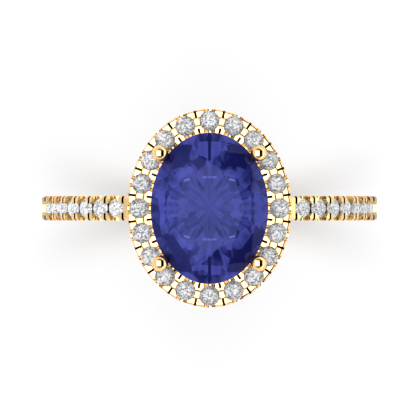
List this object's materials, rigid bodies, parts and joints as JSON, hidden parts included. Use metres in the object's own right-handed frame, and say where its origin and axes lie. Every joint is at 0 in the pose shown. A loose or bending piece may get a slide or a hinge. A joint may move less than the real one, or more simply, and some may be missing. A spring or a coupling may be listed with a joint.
{
  "type": "engagement ring",
  "caption": "Yellow-gold finger ring with an oval blue centre stone in ball-tipped claws, a halo of small clear stones in cut-down beads, and a narrow band set with stones down its shoulders.",
  "frame": {"origin": "centre of the finger bore, at the middle of the band's width", "axes": "+Z from the bore's centre up to the centre stone; +Y along the finger bore and the centre stone's long axis; +X across the finger"},
  "size_m": [0.0202, 0.0118, 0.0247],
  "materials": {
    "gold": "polished 14 carat yellow gold",
    "blue_stone": "polished facets, violet blue",
    "clear_stone": "polished facets, colourless"
  },
  "bodies": {
    "root": {"shank": "gold", "halo_frame": "gold", "lower_gallery_rail": "gold", "upper_gallery_rail": "gold", "claw_right_back": "gold", "claw_left_back": "gold", "claw_left_front": "gold", "claw_right_front": "gold", "center_stone": "blue_stone", "halo_stone_01": "clear_stone", "halo_stone_02": "clear_stone", "halo_stone_03": "clear_stone", "halo_stone_04": "clear_stone", "halo_stone_05": "clear_stone", "halo_stone_06": "clear_stone", "halo_stone_07": "clear_stone", "halo_stone_08": "clear_stone", "halo_stone_09": "clear_stone", "halo_stone_10": "clear_stone", "halo_stone_11": "clear_stone", "halo_stone_12": "clear_stone", "halo_stone_13": "clear_stone", "halo_stone_14": "clear_stone", "halo_stone_15": "clear_stone", "halo_stone_16": "clear_stone", "halo_stone_17": "clear_stone", "halo_stone_18": "clear_stone", "halo_stone_19": "clear_stone", "halo_stone_20": "clear_stone", "band_stone_right_01": "clear_stone", "band_stone_right_02": "clear_stone", "band_stone_right_03": "clear_stone", "band_stone_right_04": "clear_stone", "band_stone_right_05": "clear_stone", "band_stone_right_06": "clear_stone", "band_stone_right_07": "clear_stone", "band_stone_right_08": "clear_stone", "band_stone_left_01": "clear_stone", "band_stone_left_02": "clear_stone", "band_stone_left_03": "clear_stone", "band_stone_left_04": "clear_stone", "band_stone_left_05": "clear_stone", "band_stone_left_06": "clear_stone", "band_stone_left_07": "clear_stone", "band_stone_left_08": "clear_stone"}
  },
  "joints": []
}
